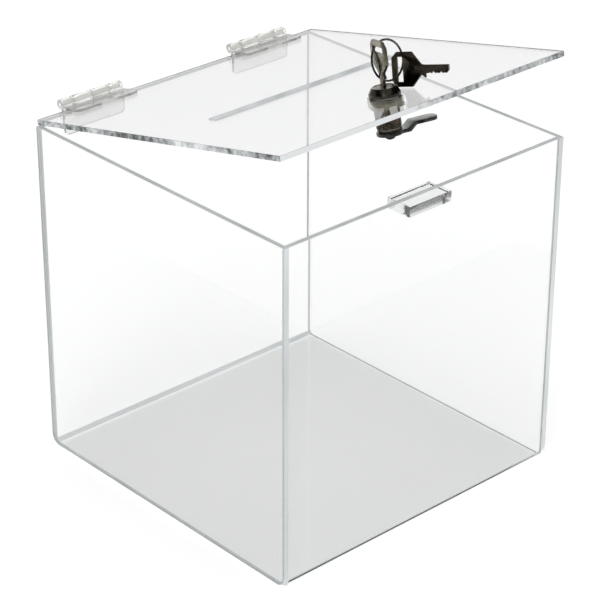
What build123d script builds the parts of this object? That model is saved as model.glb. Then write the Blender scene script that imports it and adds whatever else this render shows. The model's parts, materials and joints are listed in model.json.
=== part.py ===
"""Clear acrylic donation box: a bent sheet with glued side panels, a slotted lid on two
surface hinges, and a cam lock with two keys on a split ring.

Millimetres. X to the right, Y to the back, Z up. The origin is the centre of the underside.
The lid is built closed and then opened by lid_opening about the hinge axis.
"""
from build123d import *
from math import cos, radians, sin
import os

# ---- box ----
box_width = 200.0            # over both side panels
box_depth = 199.0            # front face to back face
wall_height = 199.0          # underside to the top of the walls
sheet = 3.0                  # every panel
bend_inner_radius = 1.5
side_panel_raise = 1.5       # side panel's lower edge above the underside
side_panel_corner_radius = 6.0

# ---- lid ----
lid_opening = 12.7           # degrees, in the pose as modelled
lid_gap = 0.3                # closed lid above the wall tops
lid_side_inset = 0.2
lid_back_inset = 0.3
lid_front_overhang = 1.0
slot_length = 129.0
slot_width = 6.0
slot_from_front = 93.2       # lid's front edge to the middle of the slot

# ---- hinges ----
hinge_from_side = 39.4       # side of the box to the middle of a hinge
hinge_width = 41.4
hinge_end_knuckle = 8.25     # the two middle knuckles share the rest
knuckle_gap = 0.3
knuckle_radius = 2.75
hinge_standoff = 0.35        # knuckle to the plane of the leaf's glued face
leaf_thickness = 1.5
leaf_setback = 4.8           # hinge axis to the near edge of the leaf's plate
leaf_reach = 17.0            # hinge axis to the free edge
leaf_corner_radius = 2.5
pin_diameter = 2.0
pin_recess = 1.0
pin_clearance = 0.05         # radial, in the lid leaf

# ---- lock ----
lock_from_front = 32.0       # lid's front edge to the lock's axis
lock_head_diameter = 16.7
lock_head_height = 5.0
lock_face_diameter = 12.9
lock_barrel_diameter = 13.5
lock_barrel_length = 17.2    # from the lid's top
lock_flat_width = 12.3       # across the barrel's two flats
lock_hole_clearance = 0.15   # radial, in the lid
nut_width = 17.0             # across flats
nut_clearance = 0.05         # radial, on the barrel
nut_thickness = 5.0
plug_diameter = 9.5
plug_flange_diameter = 10.8
plug_flange_height = 1.5
plug_recess = 0.2            # plug's face below the head's face
plug_clearance = 0.06        # radial
plug_end_play = 0.2          # along the axis
lock_turn_locked = 70.0      # degrees from the modelled pose to locked
lock_turn_open = 20.0        # degrees from the modelled pose the other way
wafer_count = 5
wafer_thickness = 0.7
wafer_pitch = 2.2
wafer_width = 4.0
wafer_height = 8.6
wafer_clearance = 0.05
wafer_window_clearance = 0.2
spring_diameter = 1.2
washer_radius = 6.6
washer_thickness = 1.0
stop_lug_inner_radius = 5.3
stop_lug_arc = 24.0          # degrees
stop_lug_azimuth = 150.0     # degrees
stop_margin = 2.0            # degrees left between the lug and the notch's end
tail_width = 5.0             # square tail that carries the washer and the cam
cam_thickness = 2.0
cam_boss_diameter = 14.0
cam_width = 9.0
cam_reach = 26.5             # lock's axis to the cam's tip
cam_crank = 2.8              # tip above the boss
cam_crank_start = 9.5
cam_crank_end = 13.0
cam_azimuth = -20.0          # degrees, in the modelled pose
screw_diameter = 3.0
screw_length = 7.0
screw_head_diameter = 5.3
screw_head_height = 2.5

# ---- strike block ----
strike_width = 30.0
strike_reach = 15.0          # out of the front wall
strike_height = 6.0
strike_offset = 2.0          # to the right of the lock's axis
strike_clearance = 0.3       # above the cam's tip with the lid closed

# ---- keys ----
key_thickness = 1.6
key_blade_length = 13.4
key_blade_width = 4.4
key_stop_depth = 2.2         # shoulder beyond the blade's cut edge
key_neck_length = 2.4
key_bow_start = 7.8
key_bow_end = 19.3
key_bow_width = 18.0
key_bow_chamfer = 3.0
key_bar = 3.0                # between the bow's hole and its end
key_hole_width = 3.4
key_hole_length = 12.8
key_cuts = (0.7, 1.1, 0.5, 1.0, 0.6)
key_clearance = 0.1          # around the blade in the keyway
key_1_azimuth = 70.0         # degrees, the way that the first key's width runs
key_1_pulled_out = 4.6       # shoulder above the plug's face, in the pose as modelled
key_2_shoulder = (20.5, -10.63, 9.42)
key_2_bow = (-0.3055, 0.9522, -0.0061)
key_2_width = (0.1446, 0.0528, 0.9881)

# ---- split ring ----
ring_radius = 10.53          # to the middle of the section
ring_section = 1.2
ring_centre = (8.436, 3.868, 16.147)
ring_normal = (0.0064, 0.9924, -0.1229)

# ---- worked out ----
half_width = box_width / 2
front_y = -box_depth / 2
back_y = box_depth / 2
shell_half_width = half_width - sheet
lid_bottom_z = wall_height + lid_gap
lid_top_z = lid_bottom_z + sheet
lid_front_y = front_y - lid_front_overhang
lid_back_y = back_y - lid_back_inset
hinge_offset = knuckle_radius + hinge_standoff
hinge_y = back_y + hinge_offset
hinge_z = lid_top_z + hinge_offset
hinge_x = half_width - hinge_from_side
lock_y = lid_front_y + lock_from_front
washer_top = -lock_barrel_length - plug_end_play
cam_top = washer_top - washer_thickness
cam_bottom = cam_top - cam_thickness
strike_bottom_z = lid_top_z + cam_top + cam_crank + strike_clearance
plug_top = lock_head_height - plug_recess
stop_lug_length = plug_end_play + washer_thickness - 0.3


def save(shape, node):
    export_step(shape, f"parts/{node}.step")


def block(x0, x1, y0, y1, z0, z1):
    centre = ((x0 + x1) / 2, (y0 + y1) / 2, (z0 + z1) / 2)
    return Pos(*centre) * Box(x1 - x0, y1 - y0, z1 - z0)


def rod(diameter, z0, z1):
    return Pos(0, 0, (z0 + z1) / 2) * Cylinder(diameter / 2, z1 - z0)


def sector(inner_radius, outer_radius, azimuth, arc, z0, z1):
    """Part of a tube wall about Z, centred on an azimuth."""
    size = 2 * outer_radius
    wedge = Polygon((0, 0), *[(size * cos(radians(azimuth + arc * share)), size * sin(radians(azimuth + arc * share)))
                              for share in (-0.5, -0.25, 0, 0.25, 0.5)], align=None)
    ring = Circle(outer_radius) - Circle(inner_radius)
    return Pos(0, 0, z0) * extrude(ring & wedge, z1 - z0)


# ---- the box itself ----
def bent_shell():
    """Front wall, bottom and back wall: one sheet with two bends."""
    outer_radius = bend_inner_radius + sheet
    outer = Pos(0, wall_height / 2) * Rectangle(box_depth, wall_height)
    inner = Pos(0, sheet + wall_height / 2) * Rectangle(box_depth - 2 * sheet, wall_height)
    outer = fillet(outer.vertices().group_by(Axis.Y)[0], outer_radius)
    inner = fillet(inner.vertices().group_by(Axis.Y)[0], bend_inner_radius)
    profile = Plane.YZ * (outer - inner)
    return Pos(-shell_half_width, 0, 0) * extrude(profile, 2 * shell_half_width, dir=(1, 0, 0))


def side_panel(side):
    """Flat panel glued on the end of the bent sheet; side is -1 left, 1 right."""
    height = wall_height - side_panel_raise
    face = Pos(0, side_panel_raise + height / 2) * Rectangle(box_depth, height)
    face = fillet(face.vertices().group_by(Axis.Y)[0], side_panel_corner_radius)
    start = min(side * half_width, side * shell_half_width)
    return Pos(start, 0, 0) * extrude(Plane.YZ * face, sheet, dir=(1, 0, 0))


def strike_block():
    inner_y = front_y + sheet
    left = strike_offset - strike_width / 2
    top = strike_bottom_z + strike_height
    return block(left, left + strike_width, inner_y, inner_y + strike_reach, strike_bottom_z, top)


# ---- the lid ----
def lid_panel():
    """Flat sheet with the money slot and the round lock hole."""
    panel = block(-half_width + lid_side_inset, half_width - lid_side_inset,
                  lid_front_y, lid_back_y, lid_bottom_z, lid_top_z)
    slot_y = lid_front_y + slot_from_front
    panel -= block(-slot_length / 2, slot_length / 2, slot_y - slot_width / 2, slot_y + slot_width / 2,
                   lid_bottom_z - 1, lid_top_z + 1)
    hole = lock_barrel_diameter + 2 * lock_hole_clearance
    return panel - Pos(0, lock_y, 0) * rod(hole, lid_bottom_z - 1, lid_top_z + 1)


# ---- hinges, about a local axis along X with the glued face towards -Y ----
def knuckle_spans():
    """Left and right ends of the four knuckles, from the left end of the hinge."""
    middle = hinge_width / 2 - hinge_end_knuckle
    edges = (0, hinge_end_knuckle, hinge_end_knuckle + middle, hinge_width - hinge_end_knuckle, hinge_width)
    spans = []
    for index in range(4):
        left = edges[index] + (knuckle_gap / 2 if index else 0)
        right = edges[index + 1] - (knuckle_gap / 2 if index < 3 else 0)
        spans.append((left - hinge_width / 2, right - hinge_width / 2))
    return spans


def hinge_leaf(knuckles, bore_diameter):
    """A plate that hangs below the axis, with tongues that carry some of the knuckles."""
    plate_face = Pos(0, -(leaf_setback + leaf_reach) / 2) * Rectangle(hinge_width, leaf_reach - leaf_setback)
    plate_face = fillet(plate_face.vertices().group_by(Axis.Y)[0], leaf_corner_radius)
    leaf = Pos(0, -hinge_offset, 0) * extrude(Plane.XZ * plate_face, leaf_thickness, dir=(0, 1, 0))
    front = -hinge_offset
    back = front + leaf_thickness
    tongue = Polygon((front, -leaf_setback - 0.5), (back, -leaf_setback - 0.5), (back, -leaf_setback / 2), (0, 0),
                     (-knuckle_radius, 0), (front, -leaf_setback / 2), align=None)
    for left, right in knuckles:
        start = Pos(left, 0, 0)
        leaf += start * extrude(Plane.YZ * (tongue + Circle(knuckle_radius)), right - left, dir=(1, 0, 0))
    return leaf - Rot(0, 90, 0) * Cylinder(bore_diameter / 2, hinge_width + 2)


def hinge_pin():
    return Rot(0, 90, 0) * Cylinder(pin_diameter / 2, hinge_width - 2 * pin_recess)


# ---- cam lock, about Z with the lid's top at zero ----
def key_plane(bow_direction, width_direction, origin):
    """Plane of a key: local X runs to the bow, local Y along its width."""
    return Plane(origin=origin, x_dir=bow_direction, z_dir=Vector(*bow_direction).cross(Vector(*width_direction)))


def square_tail(z0, z1):
    """The plug's square tail, or a hole for it, turned with the cam."""
    half = tail_width / 2
    return Rot(0, 0, cam_azimuth) * block(-half, half, -half, half, z0, z1)


def in_key_azimuth(shape):
    """Turn what lies along the key's width, from local Y to the first key's azimuth."""
    return Rot(0, 0, key_1_azimuth - 90) * shape


def wafer_heights():
    """Middle of each wafer, one above each cut of the key."""
    return [plug_top - 2.4 - wafer_pitch * index for index in range(wafer_count)]


def lock_housing():
    """Nickelled head and barrel with two flats, a bore with wafer grooves and a stop lug."""
    head = Pos(0, 0, 0) * rod(lock_head_diameter, 0, lock_head_height)
    head = chamfer(head.edges().group_by(Axis.Z)[-1], 3.4, (lock_head_diameter - lock_face_diameter) / 2)
    body = head + rod(lock_barrel_diameter, -lock_barrel_length, 0.5)
    for side in (-1, 1):
        near = side * lock_flat_width / 2
        far = side * lock_barrel_diameter
        body -= block(min(near, far), max(near, far), -20, 20, -lock_barrel_length - 1, -sheet)
    lug_top = -lock_barrel_length + 0.5
    body += sector(stop_lug_inner_radius, lock_barrel_diameter / 2 - 0.6, stop_lug_azimuth, stop_lug_arc,
                   -lock_barrel_length - stop_lug_length, lug_top)
    body -= rod(plug_diameter + 2 * plug_clearance, -lock_barrel_length - 2, lock_head_height + 1)
    flange_seat = plug_top - plug_flange_height - plug_end_play
    body -= rod(plug_flange_diameter + 2 * plug_clearance, flange_seat, lock_head_height + 1)
    groove_reach = plug_diameter / 2 + 0.9
    groove = block(-wafer_width / 2 - 0.2, wafer_width / 2 + 0.2, -groove_reach, groove_reach,
                   -lock_barrel_length + 1.5, flange_seat - 0.6)
    return body - in_key_azimuth(groove)


def lock_nut():
    hexagon = RegularPolygon(nut_width / 2, 6, major_radius=False)
    nut = Pos(0, 0, -sheet - nut_thickness) * extrude(hexagon, nut_thickness)
    return nut - rod(lock_barrel_diameter + 2 * nut_clearance, -sheet - nut_thickness - 1, -sheet + 1)


def lock_plug():
    """Turning plug with the keyway, the wafer slots and the square tail."""
    body_bottom = -lock_barrel_length - plug_end_play
    plug = rod(plug_diameter, body_bottom, plug_top)
    plug += rod(plug_flange_diameter, plug_top - plug_flange_height, plug_top)
    plug += square_tail(cam_bottom + 0.1, body_bottom)
    half_thick = key_thickness / 2 + key_clearance
    half_wide = key_blade_width / 2 + key_clearance
    cuts = block(-half_thick, half_thick, -half_wide, half_wide, plug_top - key_blade_length - 0.6, plug_top + 1)
    half_wafer = wafer_width / 2 + wafer_clearance
    for height in wafer_heights():
        low = height - wafer_thickness / 2 - wafer_clearance
        high = height + wafer_thickness / 2 + wafer_clearance
        cuts += block(-half_wafer, half_wafer, -plug_diameter, plug_diameter, low, high)
        low = height - spring_diameter / 2 - wafer_clearance
        high = height + spring_diameter / 2 + wafer_clearance
        cuts += block(wafer_width / 2, wafer_width / 2 + 1.5, -1.5, 2.9, low, high)
    screw_hole = rod(screw_diameter, cam_bottom - 1, cam_bottom + screw_length)
    return plug - in_key_azimuth(cuts) - screw_hole


def lock_wafers():
    """Flat wafers across the plug, each with a window for the key and a lug on its spring."""
    half_window_wide = key_thickness / 2 + wafer_window_clearance
    half_window_high = key_blade_width / 2 + wafer_window_clearance
    outline = Rectangle(wafer_width, wafer_height)
    outline += Pos(wafer_width / 2 + 0.7, 2.2) * Rectangle(1.4, 1.1)
    outline -= Rectangle(2 * half_window_wide, 2 * half_window_high)
    wafers = []
    for height in wafer_heights():
        wafer = Pos(0, 0, height - wafer_thickness / 2) * extrude(outline, wafer_thickness)
        wafers.append(in_key_azimuth(wafer))
    return Compound(children=wafers)


def wafer_springs():
    """The room that each small spring takes, beside its wafer and under the lug."""
    springs = []
    for height in wafer_heights():
        spring = Rot(90, 0, 0) * (Cylinder(spring_diameter / 2, 2.9) - Cylinder(spring_diameter / 2 - 0.25, 2.9))
        place = Pos(wafer_width / 2 + 0.75, 0.1, height)
        springs.append(in_key_azimuth(place * spring))
    return Compound(children=springs)


def cam_stop_washer():
    """Disc with a square hole, notched where the housing's lug stops it."""
    washer = rod(2 * washer_radius, cam_top, washer_top)
    washer -= square_tail(cam_top - 1, washer_top + 1)
    travel = lock_turn_locked + lock_turn_open
    middle = stop_lug_azimuth + (lock_turn_locked - lock_turn_open) / 2
    arc = travel + stop_lug_arc + 2 * stop_margin
    return washer - sector(stop_lug_inner_radius - 0.3, washer_radius + 1, middle, arc, cam_top - 1, washer_top + 1)


def cam():
    """Cranked arm: a boss on the plug's tail and a raised, rounded tip."""
    low, high = cam_bottom, cam_top
    arm_end = cam_reach + 1
    path = Polygon((0, low), (cam_crank_start + 0.6, low), (cam_crank_end + 0.6, low + cam_crank),
                   (arm_end, low + cam_crank), (arm_end, high + cam_crank), (cam_crank_end - 0.6, high + cam_crank),
                   (cam_crank_start - 0.6, high), (0, high), align=None)
    arm = Pos(0, cam_width / 2, 0) * extrude(Plane.XZ * path, cam_width, dir=(0, -1, 0))
    tip = fillet(Rectangle(2 * cam_reach, cam_width).vertices(), cam_width / 2 - 0.6)
    arm &= Pos(0, 0, low - 1) * extrude(tip, cam_thickness + cam_crank + 2)
    arm += rod(cam_boss_diameter, low, high)
    return Rot(0, 0, cam_azimuth) * arm - square_tail(low - 1, high + cam_crank)


def cam_screw():
    """Pan-head screw up into the plug's tail."""
    head = rod(screw_head_diameter, cam_bottom - screw_head_height, cam_bottom)
    head = fillet(head.edges().group_by(Axis.Z)[0], screw_head_height * 0.6)
    screw = head + rod(screw_diameter, cam_bottom - 0.5, cam_bottom + screw_length - 1)
    for turn in (0, 90):
        screw -= Rot(0, 0, turn) * block(-1.5, 1.5, -0.4, 0.4, cam_bottom - screw_head_height - 1, cam_bottom - 1.2)
    return screw


def key():
    """Flat key: local X to the bow from the shoulder, local Y along its width, thickness on Z."""
    half_blade = key_blade_width / 2
    half_bow = key_bow_width / 2
    outline = Polygon(
        (0, -half_blade - key_stop_depth), (key_neck_length, -half_blade - 0.6), (key_bow_start, -half_bow),
        (key_bow_end - key_bow_chamfer, -half_bow), (key_bow_end, -half_bow + key_bow_chamfer),
        (key_bow_end, half_bow - key_bow_chamfer), (key_bow_end - key_bow_chamfer, half_bow),
        (key_bow_start, half_bow), (key_neck_length, half_blade + 0.3), (0, half_blade),
        (-key_blade_length, half_blade), (-key_blade_length, -half_blade + 1.4),
        (-key_blade_length + 1.4, -half_blade), (0, -half_blade), align=None)
    hole_x = key_bow_end - key_bar - key_hole_width / 2
    outline -= Pos(hole_x, 0) * Rectangle(key_hole_width, key_hole_length)
    for index, depth in enumerate(key_cuts):
        place = -2.4 - wafer_pitch * index
        outline -= Polygon((place - depth, -half_blade), (place, -half_blade + depth), (place + depth, -half_blade),
                           (place, -half_blade - 0.5), align=None)
    return Pos(0, 0, -key_thickness / 2) * extrude(outline, key_thickness)


def key_1():
    width = (cos(radians(key_1_azimuth)), sin(radians(key_1_azimuth)), 0)
    return key_plane((0, 0, 1), width, (0, 0, plug_top + key_1_pulled_out)).location * key()


def key_2():
    return key_plane(key_2_bow, key_2_width, key_2_shoulder).location * key()


def split_ring():
    plane = Plane(origin=ring_centre, z_dir=ring_normal)
    return plane.location * Torus(ring_radius, ring_section / 2)


def on_lid(shape):
    """Put a piece that was built about the lock's axis on the closed lid."""
    return Pos(0, lock_y, lid_top_z) * shape


def opened(shape):
    """Open the closed lid and what rides on it, about the hinge axis."""
    return Pos(0, hinge_y, hinge_z) * Rot(-lid_opening, 0, 0) * Pos(0, -hinge_y, -hinge_z) * shape


def main():
    os.makedirs("parts", exist_ok=True)
    save(bent_shell(), "bent_shell")
    save(side_panel(-1), "left_side_panel")
    save(side_panel(1), "right_side_panel")
    save(strike_block(), "strike_block")
    save(opened(lid_panel()), "lid_panel")

    spans = knuckle_spans()
    wall_leaf = hinge_leaf(spans[0::2], pin_diameter)
    lid_leaf = hinge_leaf(spans[1::2], pin_diameter + 2 * pin_clearance)
    lid_leaf = lid_leaf.mirror(Plane(origin=(0, 0, 0), z_dir=(0, 1, -1)))
    for name, side in (("left", -1), ("right", 1)):
        place = Pos(side * hinge_x, hinge_y, hinge_z)
        save(place * wall_leaf, f"{name}_hinge_wall_leaf")
        save(opened(place * lid_leaf), f"{name}_hinge_lid_leaf")
        save(place * hinge_pin(), f"{name}_hinge_pin")

    for make in (lock_housing, lock_nut, lock_plug, lock_wafers, wafer_springs, cam_stop_washer, cam, cam_screw,
                 key_1, split_ring, key_2):
        save(opened(on_lid(make())), make.__name__)


main()
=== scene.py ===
"""A clear acrylic donation box with a hinged, slotted lid, a cam lock and two keys on a ring."""
import json
from math import pi, radians

import bmesh
import bpy
from mathutils import Matrix, Vector


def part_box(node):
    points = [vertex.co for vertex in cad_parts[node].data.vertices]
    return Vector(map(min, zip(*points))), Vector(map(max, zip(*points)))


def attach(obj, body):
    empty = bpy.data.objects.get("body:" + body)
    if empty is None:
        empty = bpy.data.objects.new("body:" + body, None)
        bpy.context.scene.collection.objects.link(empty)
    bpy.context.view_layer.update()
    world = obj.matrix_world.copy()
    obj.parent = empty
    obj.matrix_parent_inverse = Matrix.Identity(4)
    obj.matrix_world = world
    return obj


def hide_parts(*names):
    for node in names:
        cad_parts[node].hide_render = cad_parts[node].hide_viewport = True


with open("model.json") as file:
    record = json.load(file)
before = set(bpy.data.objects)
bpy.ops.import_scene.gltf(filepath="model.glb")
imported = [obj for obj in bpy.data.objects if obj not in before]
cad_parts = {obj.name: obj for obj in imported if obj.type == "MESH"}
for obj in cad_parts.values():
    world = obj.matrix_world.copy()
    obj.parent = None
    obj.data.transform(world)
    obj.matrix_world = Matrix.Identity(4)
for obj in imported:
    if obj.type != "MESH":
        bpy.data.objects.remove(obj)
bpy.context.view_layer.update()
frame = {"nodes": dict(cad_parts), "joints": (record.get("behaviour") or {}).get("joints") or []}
joints = {joint["name"]: joint for joint in frame["joints"]}

# The studio: a pale, faintly lit table in a light tent that is bright at the horizon and overhead
# with a dark band between, one large soft lamp at the front left, and the camera above the front
# left corner.
floor_reach = 12
floor_drop = 0.0003          # under the box, so that the two flat faces don't coincide
floor_sockets = {"Base Color": (0.93, 0.93, 0.93, 1), "Roughness": 0.9, "Specular IOR Level": 0.0,
                 "Emission Color": (1, 1, 1, 1), "Emission Strength": 0.57}
tent_heights = (0.36, 0.46, 0.70, 0.80)
tent_greys = (1.0, 0.08, 0.08, 1.0)
tent_strength = 0.76
lamp_place = (-1.6, -1.2, 1.9)
lamp_aim = Vector((0, 0, 0.1))
camera_place = (-0.7775, -0.85115, 0.70473)
camera_heading, camera_tilt, camera_roll = radians(48.44), radians(28.03), radians(-0.215)

scene = bpy.context.scene
scene.view_settings.view_transform = "Standard"

floor_mesh = bpy.data.meshes.new("floor")
bm = bmesh.new()
bmesh.ops.create_grid(bm, x_segments=1, y_segments=1, size=floor_reach)
bmesh.ops.translate(bm, vec=(0, 0, -floor_drop), verts=bm.verts)
bm.to_mesh(floor_mesh)
bm.free()
floor = bpy.data.objects.new("floor", floor_mesh)
scene.collection.objects.link(floor)
floor_paint = bpy.data.materials.new("pale_floor")
floor_paint.use_nodes = True
for socket, value in floor_sockets.items():
    floor_paint.node_tree.nodes["Principled BSDF"].inputs[socket].default_value = value
floor_mesh.materials.append(floor_paint)

tent = bpy.data.worlds.new("tent")
tent.use_nodes = True
scene.world = tent
tent_nodes = tent.node_tree.nodes
tent_links = tent.node_tree.links
tent_height = tent_nodes.new("ShaderNodeSeparateXYZ")
tent_ramp = tent_nodes.new("ShaderNodeValToRGB")
tent_stops = tent_ramp.color_ramp.elements
for _ in range(2):
    tent_stops.new(0.5)
for stop, position, grey in zip(tent_stops, tent_heights, tent_greys):
    stop.position = position
    stop.color = (grey, grey, grey, 1)
tent_place = tent_nodes.new("ShaderNodeTexCoord")
tent_links.new(tent_place.outputs["Generated"], tent_height.inputs[0])
tent_links.new(tent_height.outputs["Z"], tent_ramp.inputs["Fac"])
tent_links.new(tent_ramp.outputs["Color"], tent_nodes["Background"].inputs["Color"])
tent_nodes["Background"].inputs["Strength"].default_value = tent_strength

lamp_data = bpy.data.lights.new("front_left_softbox", "AREA")
lamp_data.shape = "RECTANGLE"
lamp_data.size = 1.2
lamp_data.size_y = 0.9
lamp_data.energy = 8
lamp = bpy.data.objects.new("front_left_softbox", lamp_data)
lamp.location = lamp_place
lamp.rotation_euler = (lamp_aim - lamp.location).to_track_quat("-Z", "Y").to_euler()
scene.collection.objects.link(lamp)

camera_data = bpy.data.cameras.new("camera")
camera_data.sensor_width = 36
camera_data.lens = 140.985
camera_data.shift_x = 0.05494
camera_data.shift_y = 0.01669
camera = bpy.data.objects.new("camera", camera_data)
camera_turn = (Matrix.Rotation(camera_heading - pi / 2, 4, "Z")
               @ Matrix.Rotation(pi / 2 - camera_tilt, 4, "X")
               @ Matrix.Rotation(camera_roll, 4, "Z"))
camera.matrix_world = Matrix.Translation(camera_place) @ camera_turn
scene.collection.objects.link(camera)
scene.camera = camera


# The box: one acrylic sheet bent into front wall, bottom and back wall, two flat side panels
# glued on its ends, and a small glued block that the lock's cam hooks under. The cut edges are
# polished and mottled grey, and give out a faint painted glow that stands in for the light the
# sheet gathers.
class Wire:
    """A socket of a material: arithmetic on it adds Math nodes, and node() adds any other node."""

    def __init__(self, tree, socket=None):
        self.tree = tree
        self.socket = socket

    def node(self, kind, settings=None, sockets=None, output=0):
        made = self.tree.nodes.new(kind)
        for name, value in (settings or {}).items():
            if name == "stops":
                ramp = made.color_ramp
                while len(ramp.elements) < len(value):
                    ramp.elements.new(0.5)
                for element, (position, colour) in zip(ramp.elements, value):
                    element.position = position
                    element.color = (*colour, 1)
            else:
                setattr(made, name, value)
        for name, value in (sockets or {}).items():
            if isinstance(value, Wire):
                self.tree.links.new(value.socket, made.inputs[name])
            else:
                made.inputs[name].default_value = value
        return Wire(self.tree, made.outputs[output])

    def maths(self, operation, first, second):
        return self.node("ShaderNodeMath", {"operation": operation}, {0: first, 1: second})

    def __add__(self, other):
        return self.maths("ADD", self, other)

    def __rsub__(self, other):
        return self.maths("SUBTRACT", other, self)

    def __mul__(self, other):
        return self.maths("MULTIPLY", self, other)

    __radd__ = __add__
    __rmul__ = __mul__


def new_finish(name, **constants):
    """A material whose shader has these constants: the material, its shader, its first wire."""
    finish = bpy.data.materials.new(name)
    finish.use_nodes = True
    shader = finish.node_tree.nodes["Principled BSDF"]
    for socket, value in constants.items():
        shader.inputs[socket.replace("_", " ")].default_value = value
    return finish, shader, Wire(finish.node_tree)


def mottle(wire, scale, stretch=(1, 1, 1), detail=3.0, roughness=0.6):
    """Noise in the object's own coordinates, in metres, drawn out along the axes by stretch."""
    place = wire.node("ShaderNodeTexCoord", output="Object")
    place = wire.node("ShaderNodeMapping", {}, {"Vector": place, "Scale": stretch})
    return wire.node("ShaderNodeTexNoise", {},
                     {"Vector": place, "Scale": scale, "Detail": detail, "Roughness": roughness})


def feed(shader, socket, wire):
    wire.tree.links.new(wire.socket, shader.inputs[socket])


def tint(shader, stops, pattern):
    """Colour a finish by its pattern, through the colours at these places from 0 to 1."""
    feed(shader, "Base Color",
         pattern.node("ShaderNodeValToRGB", {"stops": stops}, {"Fac": pattern}))


crease = radians(25)         # edges that turn more than this are rounded, and shade as edges
largest_curved_face = 0.0003  # square metres; anything bigger is a flat side


def merged(node):
    """A copy of a CAD node's shape with its points joined and its flat faces made whole."""
    bm = bmesh.new()
    bm.from_mesh(frame["nodes"][node].data)
    bmesh.ops.remove_doubles(bm, verts=bm.verts, dist=1e-6)
    bmesh.ops.dissolve_limit(bm, angle_limit=radians(0.5), verts=bm.verts, edges=bm.edges)
    return bm


def edges_over(bm, angle):
    return [edge for edge in bm.edges
            if len(edge.link_faces) == 2 and edge.calc_face_angle() > angle]


def round_edges(bm, edges, radius, segments):
    bmesh.ops.bevel(bm, geom=edges, offset=radius, segments=segments, profile=0.5,
                    affect="EDGES", material=-1, clamp_overlap=True)


def softened(node, radius, segments=2):
    """A copy of a CAD node's shape with its sharp edges rounded."""
    bm = merged(node)
    round_edges(bm, edges_over(bm, crease), radius, segments)
    return bm


def stand(bm, name, body, node, slot, *finishes):
    """Make the object from its bmesh, smooth it up to the crease, and put it on its body."""
    for edge in bm.edges:
        edge.smooth = len(edge.link_faces) == 2 and edge.calc_face_angle() < crease
    for face in bm.faces:
        face.smooth = face.calc_area() < largest_curved_face
    mesh = bpy.data.meshes.new(name)
    bm.to_mesh(mesh)
    bm.free()
    for finish in finishes:
        mesh.materials.append(finish)
    piece = bpy.data.objects.new(name, mesh)
    scene.collection.objects.link(piece)
    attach(piece, body)
    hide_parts(node)


glue = 0.00003               # thickness of a glue line
on_face = 0.0001             # points this near a face belong to it


def leave_glue_line(bm, face_point, inward, reach):
    """Draw a glued face back by the glue's thickness, so that two faces don't coincide."""
    for vert in bm.verts:
        if abs((vert.co - face_point).dot(inward)) < reach:
            vert.co += inward * glue
    bm.normal_update()


acrylic_ior = 1.49
acrylic, acrylic_shader, wire = new_finish("clear_acrylic", Base_Color=(1, 1, 1, 1),
                                           IOR=acrylic_ior, Transmission_Weight=1.0)
feed(acrylic_shader, "Roughness", mottle(wire, 14) * 0.012)
absorb = acrylic.node_tree.nodes.new("ShaderNodeVolumeAbsorption")
absorb.inputs["Color"].default_value = (0.66, 0.72, 0.70, 1)
absorb.inputs["Density"].default_value = 14
acrylic_output = acrylic.node_tree.nodes["Material Output"]
acrylic.node_tree.links.new(absorb.outputs[0], acrylic_output.inputs["Volume"])

# Painted glow: the wall edges' emission stands in for light carried along the sheet; they are no
# lamp.
wall_edge, wall_edge_shader, wire = new_finish(
    "polished_wall_edge_painted_glow", Roughness=0.12, IOR=acrylic_ior,
    Emission_Color=(0.80, 0.83, 0.84, 1), Emission_Strength=0.22)
tint(wall_edge_shader,
     ((0.30, (0.36, 0.38, 0.39)), (0.50, (0.52, 0.55, 0.56)), (0.70, (0.70, 0.72, 0.73))),
     mottle(wire, 22, (1, 1, 0.25)))

# Painted light on the bend: a pale mottled colour and a faint emission stand in for the bright
# floor seen through the bend.
bend_painted_light, bend_shader, wire = new_finish(
    "bend_painted_light_finish", Roughness=0.08, IOR=acrylic_ior, Transmission_Weight=0.15,
    Emission_Color=(0.80, 0.84, 0.85, 1), Emission_Strength=0.22)
tint(bend_shader, ((0.30, (0.74, 0.77, 0.78)), (0.70, (0.96, 0.97, 0.97))),
     mottle(wire, 30, (0.3, 1, 1)))

sheet_rounding = 0.00015
block_rounding = 0.0003
bend_radius = 0.0045
flat_face = 0.995            # a face whose normal has a part over this lies square to an axis

shell_low, shell_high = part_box("bent_shell")
bm = softened("bent_shell", sheet_rounding)
leave_glue_line(bm, Vector((shell_high[0], 0, 0)), Vector((-1, 0, 0)), on_face)
leave_glue_line(bm, Vector((shell_low[0], 0, 0)), Vector((1, 0, 0)), on_face)
for face in bm.faces:
    centre = face.calc_center_median()
    cut_end = abs(face.normal.x) > 0.5
    near_bend = centre.z < bend_radius and abs(centre.y) > shell_high[1] - bend_radius
    if near_bend and not cut_end and max(abs(part) for part in face.normal) < flat_face:
        face.material_index = 2
    elif cut_end or centre.z > shell_high[2] - 2 * on_face:
        face.material_index = 1
stand(bm, "bent_sheet", "box", "bent_shell", "clear_sheet", acrylic, wall_edge, bend_painted_light)

for side in ("left", "right"):
    bm = softened(side + "_side_panel", sheet_rounding)
    for face in bm.faces:
        face.material_index = 1 if abs(face.normal.x) < 0.5 else 0
    stand(bm, side + "_side_sheet", "box", side + "_side_panel", "clear_sheet",
          acrylic, wall_edge)

bm = softened("strike_block", block_rounding)
block_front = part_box("strike_block")[0][1]
leave_glue_line(bm, Vector((0, block_front, 0)), Vector((0, 1, 0)), on_face)
stand(bm, "strike_block_acrylic", "box", "strike_block", "clear_block", acrylic)
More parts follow.
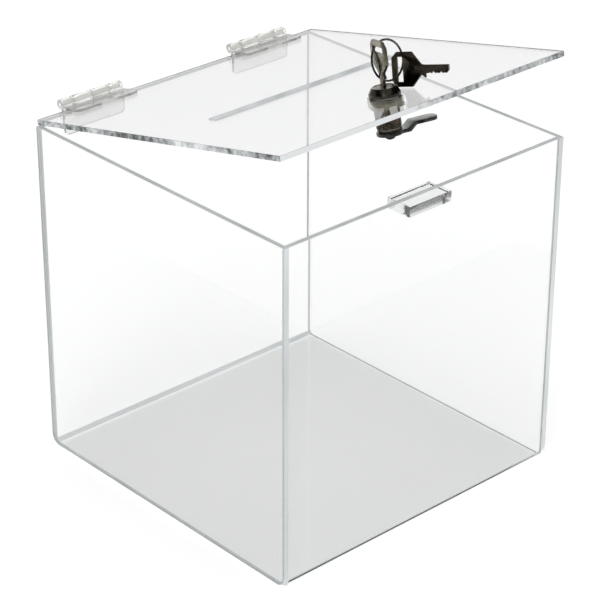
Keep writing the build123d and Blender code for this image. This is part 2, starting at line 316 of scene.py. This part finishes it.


# The lid: a flat sheet of the same acrylic with a sawn slot for the money and a hole for the
# lock. Its edges are sawn and flame polished; their dark and light flecks are painted shade and
# painted highlights over the sawn texture, and the front edge is painted lighter on its left,
# towards the lamp.
def lid_edge_with_painted_light(name, painted_light_left_of=None):
    """A lid edge with painted dark and light flecks, shade and highlights over its sawn texture;
    left of the given X, in metres, it is painted lighter, as light from the lamp.
    """
    finish, shader, wire = new_finish(name, Roughness=0.1, IOR=acrylic_ior)
    flecks = mottle(wire, 120, detail=4.0, roughness=0.75) * 0.55 + mottle(wire, 14) * 0.45
    if painted_light_left_of is not None:
        # Painted lamp light: the edge grows lighter left of the given X, towards the lamp.
        place = wire.node("ShaderNodeTexCoord", output="Object")
        across = wire.node("ShaderNodeSeparateXYZ", {}, {"Vector": place})
        painted_lamp_light = wire.node("ShaderNodeClamp", {}, {"Value": (painted_light_left_of - across) * 12})
        flecks = flecks + painted_lamp_light * 0.3
    tint(shader, ((0.36, (0.02, 0.02, 0.02)), (0.46, (0.10, 0.11, 0.11)),
                  (0.52, (0.42, 0.45, 0.46)), (0.64, (0.92, 0.94, 0.95))), flecks)
    return finish


lid_side_edge = lid_edge_with_painted_light("lid_side_edge_painted_flecks")
lid_front_edge = lid_edge_with_painted_light("lid_front_edge_painted_light", painted_light_left_of=0.02)
# Painted glow: the slot's sawn faces carry a faint emission that lights them, though they are no
# lamp.
slot_edge, slot_edge_shader, wire = new_finish(
    "sawn_slot_edge_painted_glow", Roughness=0.3, IOR=acrylic_ior,
    Emission_Color=(0.8, 0.84, 0.85, 1), Emission_Strength=0.12)
tint(slot_edge_shader, ((0.35, (0.62, 0.65, 0.67)), (0.65, (0.90, 0.92, 0.93))),
     mottle(wire, 60))

side_zone = 0.001            # sawn faces this near the lid's sides are its outer edges
end_zone = 0.02              # and these this near its front or its back
lid_normal = Vector(joints["lock_turn"]["axis"])
lid_low, lid_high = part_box("lid_panel")
bm = softened("lid_panel", sheet_rounding)
for face in bm.faces:
    centre = face.calc_center_median()
    if abs(face.normal.dot(lid_normal)) < 0.5:
        at_side = abs(centre.x) > lid_high[0] - side_zone
        at_end = not lid_low[1] + end_zone < centre.y < lid_high[1] - end_zone
        if not (at_side or at_end):
            face.material_index = 3
        elif abs(face.normal.x) > 0.5:
            face.material_index = 1
        else:
            face.material_index = 2
stand(bm, "lid_sheet", "lid", "lid_panel", "clear_sheet",
      acrylic, lid_side_edge, lid_front_edge, slot_edge)


# The hinges: moulded clear plastic leaves glued on the back wall and on the lid, four knuckles
# each on a clear plastic pin that is pressed into the wall leaf's knuckles.
plastic_ior = 1.45
hinge_plastic, hinge_shader, wire = new_finish("clear_moulded_plastic", IOR=plastic_ior,
                                               Transmission_Weight=0.85)
tint(hinge_shader, ((0.3, (0.93, 0.94, 0.93)), (0.7, (1.0, 1.0, 0.99))), mottle(wire, 90))
feed(hinge_shader, "Roughness", mottle(wire, 200) * 0.12)

pin_plastic, pin_shader, wire = new_finish("milky_pin_plastic", IOR=plastic_ior,
                                           Transmission_Weight=0.4)
tint(pin_shader, ((0.3, (0.84, 0.85, 0.82)), (0.7, (0.96, 0.96, 0.94))), mottle(wire, 150))
feed(pin_shader, "Roughness", mottle(wire, 300) * 0.3)

# Painted glow: the knuckles' round faces carry a faint emission that stands in for highlights in
# the clear plastic; they are no lamp.
knuckle_painted_glow, knuckle_shader, wire = new_finish(
    "knuckle_plastic_painted_glow", IOR=plastic_ior, Transmission_Weight=0.8,
    Emission_Color=(1, 1, 0.97, 1), Emission_Strength=0.10)
tint(knuckle_shader, ((0.3, (0.90, 0.91, 0.89)), (0.7, (1.0, 1.0, 0.98))), mottle(wire, 120))
feed(knuckle_shader, "Roughness", mottle(wire, 200) * 0.12)

leaf_rounding = 0.00025
pin_rounding = 0.0002
knuckle_reach = 0.0030       # from the hinge's axis to just past the knuckles' outside
hinge_point = Vector(joints["lid_hinge"]["pos_m"])
back_wall = Vector((0, shell_high[1], 0))
lid_top = Vector(joints["lock_turn"]["pos_m"])
for side in ("left", "right"):
    for leaf, body, outward, glued_point in (("wall", "box", Vector((0, 1, 0)), back_wall),
                                             ("lid", "lid", lid_normal, lid_top)):
        node = side + "_hinge_" + leaf + "_leaf"
        bm = softened(node, leaf_rounding)
        leave_glue_line(bm, glued_point, outward, glue)
        for face in bm.faces:
            away = face.calc_center_median() - hinge_point
            in_reach = Vector((away.y, away.z)).length < knuckle_reach
            face.material_index = 1 if in_reach and abs(face.normal.x) < 0.3 else 0
        stand(bm, side + "_" + leaf + "_leaf", body, node, "hinge_plastic",
              hinge_plastic, knuckle_painted_glow)
    pin = side + "_hinge_pin"
    stand(softened(pin, pin_rounding), side + "_pin", "box", pin, "hinge_plastic", pin_plastic)


# The lock's housing and nut: a die-cast head on a threaded barrel with two flats, through the
# lid's hole, and a hexagon nut that clamps it from below. Both are nickel plated.
up = Vector((0, 0, 1))
lock_place = (Matrix.Translation(joints["lock_turn"]["pos_m"])
              @ up.rotation_difference(lid_normal).to_matrix().to_4x4())
head_under = 0.0             # heights are from the lid's top, where the head rests
lid_under = -0.003
barrel_end = -0.0172
barrel_radius = 0.00675
barrel_root = 0.00635        # at the bottom of the thread
flat_half = 0.00615          # from the axis to each of the barrel's two flats
rim_radius = 0.0058          # the head's bore lies inside this, its rim outside
head_rounding = 0.0003
nut_rounding = 0.0006
thread_pitch = 0.00075
thread_foot = 0.0001         # how far the ridge is sunk in the barrel
thread_steps = 36


def plated(name, dark, light, grain, rough):
    """Plated metal: its colour drifts from a dark to a light tone, and its gloss has fine wear."""
    finish, shader, wire = new_finish(name, Metallic=1.0)
    tint(shader, ((0.35, dark), (0.65, light)), mottle(wire, grain))
    feed(shader, "Roughness", mottle(wire, grain * 4) * 0.18 + rough)
    return finish


nickel_head = plated("nickel_head", (0.30, 0.28, 0.25), (0.56, 0.54, 0.50), 160, 0.08)
# Painted shade: the head's sides use a near-black copy of its nickel, while its top stays light
# where light falls from above.
nickel_rim_painted_shade = plated("nickel_rim_painted_shade", (0.015, 0.014, 0.012), (0.07, 0.065, 0.05), 160, 0.08)
# Painted shade: the threaded barrel under the lid uses a near-black copy of the housing's nickel.
nickel_barrel_painted_shade = plated("nickel_barrel_painted_shade", (0.03, 0.028, 0.025), (0.16, 0.13, 0.10), 200, 0.12)
nickel_nut = plated("nickel_nut", (0.16, 0.15, 0.12), (0.36, 0.34, 0.28), 200, 0.12)

bm = merged("lock_housing")
bmesh.ops.transform(bm, matrix=lock_place.inverted(), verts=bm.verts)
for vert in bm.verts:
    reach = Vector((vert.co.x, vert.co.y)).length
    if vert.co.z < head_under - 0.0005 and reach > barrel_radius - 0.0002:
        vert.co.x *= barrel_root / reach
        vert.co.y *= barrel_root / reach
bm.normal_update()
head_edges = [edge for edge in edges_over(bm, radians(20))
              if min(vert.co.z for vert in edge.verts) > head_under + 0.0001]
round_edges(bm, head_edges, head_rounding, 3)

turns = int((lid_under - barrel_end) / thread_pitch) - 1
low = barrel_end + 0.0003
foot = barrel_root - thread_foot
profile = [bm.verts.new(point) for point in ((foot, 0, low),
                                             (barrel_radius, 0, low + 0.45 * thread_pitch),
                                             (foot, 0, low + 0.9 * thread_pitch))]
ridge = [bm.edges.new(profile[:2]), bm.edges.new(profile[1:])]
before = set(bm.verts)
bmesh.ops.spin(bm, geom=profile + ridge, cent=(0, 0, 0), axis=up,
               dvec=(0, 0, thread_pitch / thread_steps), angle=2 * pi * turns,
               steps=thread_steps * turns, use_merge=False)
for vert in list(set(bm.verts) - before) + profile:
    vert.co.x = max(-flat_half, min(flat_half, vert.co.x))
bm.normal_update()

for face in bm.faces:
    centre = face.calc_center_median()
    reach = Vector((centre.x, centre.y)).length
    if centre.z < head_under - 0.0001:
        face.material_index = 1
    elif abs(face.normal.z) < 0.75 and reach > rim_radius:
        face.material_index = 2
bmesh.ops.recalc_face_normals(bm, faces=bm.faces)
bmesh.ops.transform(bm, matrix=lock_place, verts=bm.verts)
stand(bm, "threaded_housing", "lid", "lock_housing", "nickel_plate",
      nickel_head, nickel_barrel_painted_shade, nickel_rim_painted_shade)

stand(softened("lock_nut", nut_rounding, segments=3), "chamfered_nut", "lid", "lock_nut",
      "nickel_plate", nickel_nut)


# The lock's plug with its flat brass wafers and their small springs: the plug turns in the
# housing with the key, and the wafers hold it while the key is out.
plug_rounding = 0.00008
plug_metal = plated("plug_metal", (0.14, 0.13, 0.11), (0.46, 0.42, 0.36), 240, 0.10)
stand(softened("lock_plug", plug_rounding), "turning_plug", "lock_plug", "lock_plug",
      "plug_metal", plug_metal)

wafer_brass = plated("wafer_brass", (0.55, 0.38, 0.15), (0.78, 0.60, 0.30), 300, 0.22)
spring_steel = plated("spring_steel", (0.30, 0.30, 0.31), (0.52, 0.52, 0.53), 500, 0.2)
for node, finish in (("lock_wafers", wafer_brass), ("wafer_springs", spring_steel)):
    finishes = frame["nodes"][node].data.materials
    finishes.clear()
    finishes.append(finish)


# The cam, its stop washer and its screw: pressed steel, zinc plated, on the plug's square tail.
# The washer's notch meets the housing's lug at both ends of the lock's turn.
zinc_washer = plated("zinc_washer", (0.12, 0.11, 0.10), (0.42, 0.36, 0.26), 260, 0.25)
zinc_cam = plated("zinc_cam", (0.22, 0.24, 0.22), (0.50, 0.52, 0.49), 150, 0.22)
zinc_screw = plated("zinc_screw", (0.06, 0.06, 0.06), (0.24, 0.24, 0.23), 300, 0.2)
# Painted shade: the sides of the washer, the cam and the screw use a near-black copy of the zinc,
# while faces square to the lid stay lighter.
zinc_side_painted_shade = plated("zinc_side_painted_shade", (0.015, 0.015, 0.014), (0.07, 0.07, 0.065), 260, 0.2)
for node, name, rounding, finish in (("cam_stop_washer", "stop_washer", 0.0001, zinc_washer),
                                     ("cam", "cranked_cam", 0.0003, zinc_cam),
                                     ("cam_screw", "pan_head_screw", 0.0001, zinc_screw)):
    bm = softened(node, rounding)
    for face in bm.faces:
        face.material_index = 1 if abs(face.normal.dot(lid_normal)) < 0.6 else 0
    stand(bm, name, "lock_plug", node, "zinc_plate", finish, zinc_side_painted_shade)


# The keys: flat blanks stamped from steel, milled with the bitting and nickel plated; one is
# in the lock and the other hangs beside it.
key_rounding = 0.00022
# Painted reflection and shade: the keys' nickel is painted dark and olive-brown, standing in for
# the dark studio it reflects; key 2's faces use a darker copy as painted shade, and both keys'
# edges are painted darker as shade.
key_face = plated("key_face", (0.05, 0.04, 0.028), (0.34, 0.31, 0.24), 90, 0.10)
key_face_painted_shade = plated("key_face_painted_shade", (0.018, 0.014, 0.010), (0.07, 0.06, 0.045), 90, 0.10)
key_side_painted_shade = plated("key_side_painted_shade", (0.02, 0.017, 0.013), (0.16, 0.14, 0.10), 120, 0.12)
for node, face_finish in (("key_1", key_face), ("key_2", key_face_painted_shade)):
    bm = softened(node, key_rounding, segments=3)
    flat = max(bm.faces, key=lambda face: face.calc_area()).normal.copy()
    for face in bm.faces:
        face.material_index = 1 if abs(face.normal.dot(flat)) < 0.7 else 0
    stand(bm, node + "_milled", node, node, "key_metal", face_finish, key_side_painted_shade)


# The split ring: two turns of flat-sided spring wire lying on each other, with a step where
# one turn passes over the other.
# Painted reflection: the ring's steel is painted near black, standing in for the dark surroundings
# it reflects.
ring_steel = plated("ring_steel", (0.02, 0.02, 0.02), (0.15, 0.15, 0.14), 200, 0.12)
ring_joint = joints["ring_turn"]
ring_place = (Matrix.Translation(ring_joint["pos_m"])
              @ up.rotation_difference(Vector(ring_joint["axis"])).to_matrix().to_4x4())
ring_radius = 0.01053
wire_half_wide = 0.00056
wire_half_thick = 0.00027
turn_gap = 0.00003           # from the middle plane to each turn
steps_each_turn = 96
turn_height = wire_half_thick + turn_gap

bm = bmesh.new()
section_place = (Matrix.Translation((ring_radius, 0, -turn_height))
                 @ Matrix.Rotation(pi / 2, 4, "X")
                 @ Matrix.Diagonal((wire_half_wide, wire_half_thick, 1, 1)))
section = bmesh.ops.create_circle(bm, cap_ends=False, radius=1, segments=12,
                                  matrix=section_place)["verts"]
rim = list({edge for vert in section for edge in vert.link_edges})
first_end = bmesh.ops.contextual_create(bm, geom=rim)["faces"]
bmesh.ops.spin(bm, geom=first_end, cent=(0, 0, 0), axis=up,
               dvec=(0, 0, turn_height / steps_each_turn), angle=4 * pi,
               steps=2 * steps_each_turn, use_merge=False)
bmesh.ops.recalc_face_normals(bm, faces=bm.faces)
bmesh.ops.transform(bm, matrix=ring_place, verts=bm.verts)
stand(bm, "two_turn_ring", "split_ring", "split_ring", "ring_steel", ring_steel)
